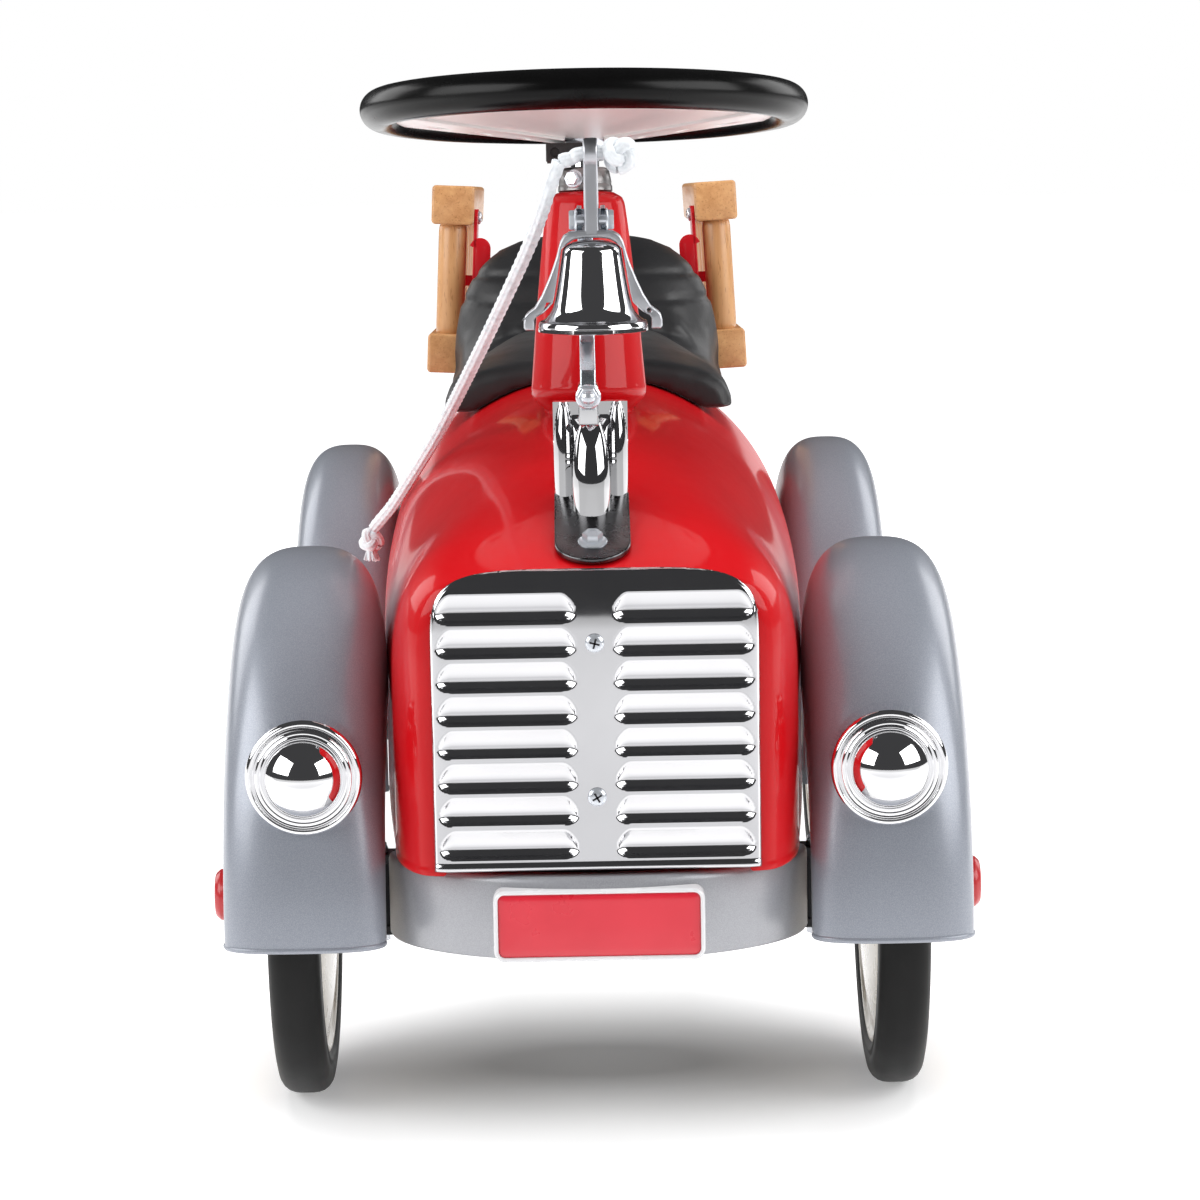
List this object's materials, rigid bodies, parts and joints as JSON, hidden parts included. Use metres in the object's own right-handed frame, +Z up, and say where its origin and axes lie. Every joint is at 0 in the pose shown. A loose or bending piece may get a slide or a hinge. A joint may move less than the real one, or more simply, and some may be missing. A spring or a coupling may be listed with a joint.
{
  "type": "foot_to_floor_ride_on_fire_car",
  "caption": "Sheet-steel foot-to-floor ride-on fire car for a small child, with a chrome grille and bell, wooden ladders, a saddle and steered front wheels.",
  "frame": {"origin": "On the floor, under the middle of the car's bounding box", "axes": "+X to the car's left-hand side as its driver sits, which is the right of a viewer in front; +Y from the number plate to the tail; +Z up"},
  "size_m": [0.358, 0.775, 0.4847],
  "materials": {
    "red_paint": "gloss",
    "dark_steel": "satin",
    "chrome": "polished",
    "screw_steel": "bright zinc",
    "satin_paint": "satin silver",
    "frame_plastic": "gloss",
    "plate_enamel": "gloss",
    "silver_paint": "metallic gloss",
    "seat_leather": "fine grained",
    "cast_metal": "cast",
    "cotton_rope": "braided",
    "black_plastic": "gloss",
    "red_plastic": "gloss",
    "tyre_rubber": "matt",
    "disc_plastic": "gloss cream",
    "beech_wood": "varnished",
    "red_bracket_paint": "gloss"
  },
  "bodies": {
    "car_body": {"body_shell": "red_paint", "floor_pan": "dark_steel", "chassis": "dark_steel", "grille": "chrome", "grille_screws": "screw_steel", "bumper": "satin_paint", "plate_frame": "frame_plastic", "plate_panel": "plate_enamel", "fender_front_left": "silver_paint", "fender_front_right": "silver_paint", "fender_rear_left": "silver_paint", "fender_rear_right": "silver_paint", "headlight_left": "chrome", "headlight_right": "chrome", "column_cover": "red_paint", "seat": "seat_leather", "bell_stand": "chrome", "stand_bolts": "screw_steel", "bell_hanger": "cast_metal", "pivot_bolt": "screw_steel", "rope": "cotton_rope", "rope_end_knot": "cotton_rope", "front_axle": "dark_steel", "kingpins": "dark_steel", "rear_axle": "dark_steel", "ladder_rails_left": "beech_wood", "ladder_rails_right": "beech_wood", "ladder_rungs_left": "beech_wood", "ladder_rungs_right": "beech_wood", "ladder_bracket_left": "red_bracket_paint", "ladder_bracket_right": "red_bracket_paint", "ladder_screws": "screw_steel"},
    "steering": {"steering_shaft": "chrome", "shaft_collar": "cast_metal", "collar_bolt": "screw_steel", "steering_hub": "chrome", "steering_spokes": "chrome", "steering_rim": "black_plastic", "horn_box": "black_plastic"},
    "horn": {"horn_button": "red_plastic"},
    "steering_knuckle_left": {"knuckle_left": "dark_steel"},
    "steering_knuckle_right": {"knuckle_right": "dark_steel"},
    "track_rod": {"tie_bar": "dark_steel"},
    "front_left_wheel": {"tyre_front_left": "tyre_rubber", "wheel_front_left": "disc_plastic", "hub_cap_front_left": "red_plastic"},
    "front_right_wheel": {"tyre_front_right": "tyre_rubber", "wheel_front_right": "disc_plastic", "hub_cap_front_right": "red_plastic"},
    "rear_left_wheel": {"tyre_rear_left": "tyre_rubber", "wheel_rear_left": "disc_plastic", "hub_cap_rear_left": "red_plastic"},
    "rear_right_wheel": {"tyre_rear_right": "tyre_rubber", "wheel_rear_right": "disc_plastic", "hub_cap_rear_right": "red_plastic"},
    "bell_arm": {"bell_yoke": "cast_metal", "bell": "chrome", "rope_knot": "cotton_rope"},
    "bell_clapper": {"clapper": "screw_steel"}
  },
  "joints": [
    {"name": "steering_turn", "type": "hinge", "parent": "car_body", "child": "steering", "pos_m": [0, -0.14, 0.464], "axis": [0, 0.1115, 0.9938], "range_deg": [-25, 25]},
    {"name": "horn_press", "type": "slide", "parent": "steering", "child": "horn", "axis": [0, -0.1115, -0.9938], "range_m": [0, 0.003], "stiffness_N_per_m": 300, "springref_m": -0.002},
    {"name": "left_knuckle_turn", "type": "hinge", "parent": "car_body", "child": "steering_knuckle_left", "pos_m": [-0.108, -0.245, 0.095], "axis": [0, 0, 1], "range_deg": [-15, 15]},
    {"name": "right_knuckle_turn", "type": "hinge", "parent": "car_body", "child": "steering_knuckle_right", "pos_m": [0.108, -0.245, 0.095], "axis": [0, 0, 1], "range_deg": [-15, 15]},
    {"name": "track_rod_slide", "type": "slide", "parent": "car_body", "child": "track_rod", "axis": [1, 0, 0], "range_m": [-0.0128, 0.0128]},
    {"name": "front_left_wheel_spin", "type": "hinge", "parent": "steering_knuckle_left", "child": "front_left_wheel", "pos_m": [-0.14, -0.245, 0.095], "axis": [1, 0, 0], "continuous": true},
    {"name": "front_right_wheel_spin", "type": "hinge", "parent": "steering_knuckle_right", "child": "front_right_wheel", "pos_m": [0.14, -0.245, 0.095], "axis": [1, 0, 0], "continuous": true},
    {"name": "rear_left_wheel_spin", "type": "hinge", "parent": "car_body", "child": "rear_left_wheel", "pos_m": [-0.14, 0.205, 0.095], "axis": [1, 0, 0], "continuous": true},
    {"name": "rear_right_wheel_spin", "type": "hinge", "parent": "car_body", "child": "rear_right_wheel", "pos_m": [0.14, 0.205, 0.095], "axis": [1, 0, 0], "continuous": true},
    {"name": "bell_swing", "type": "hinge", "parent": "car_body", "child": "bell_arm", "pos_m": [0.002, -0.318, 0.418], "axis": [1, 0, 0], "range_deg": [-22, 3]},
    {"name": "clapper_swing", "type": "hinge", "parent": "bell_arm", "child": "bell_clapper", "pos_m": [0.002, -0.318, 0.401], "axis": [1, 0, 0], "range_deg": [-18, 18]}
  ],
  "couplings": [
    {"joint": "left_knuckle_turn", "follows": "steering_turn", "ratio": 0.6},
    {"joint": "right_knuckle_turn", "follows": "steering_turn", "ratio": 0.6},
    {"joint": "track_rod_slide", "follows": "steering_turn", "m_per_rad": -0.0293}
  ]
}
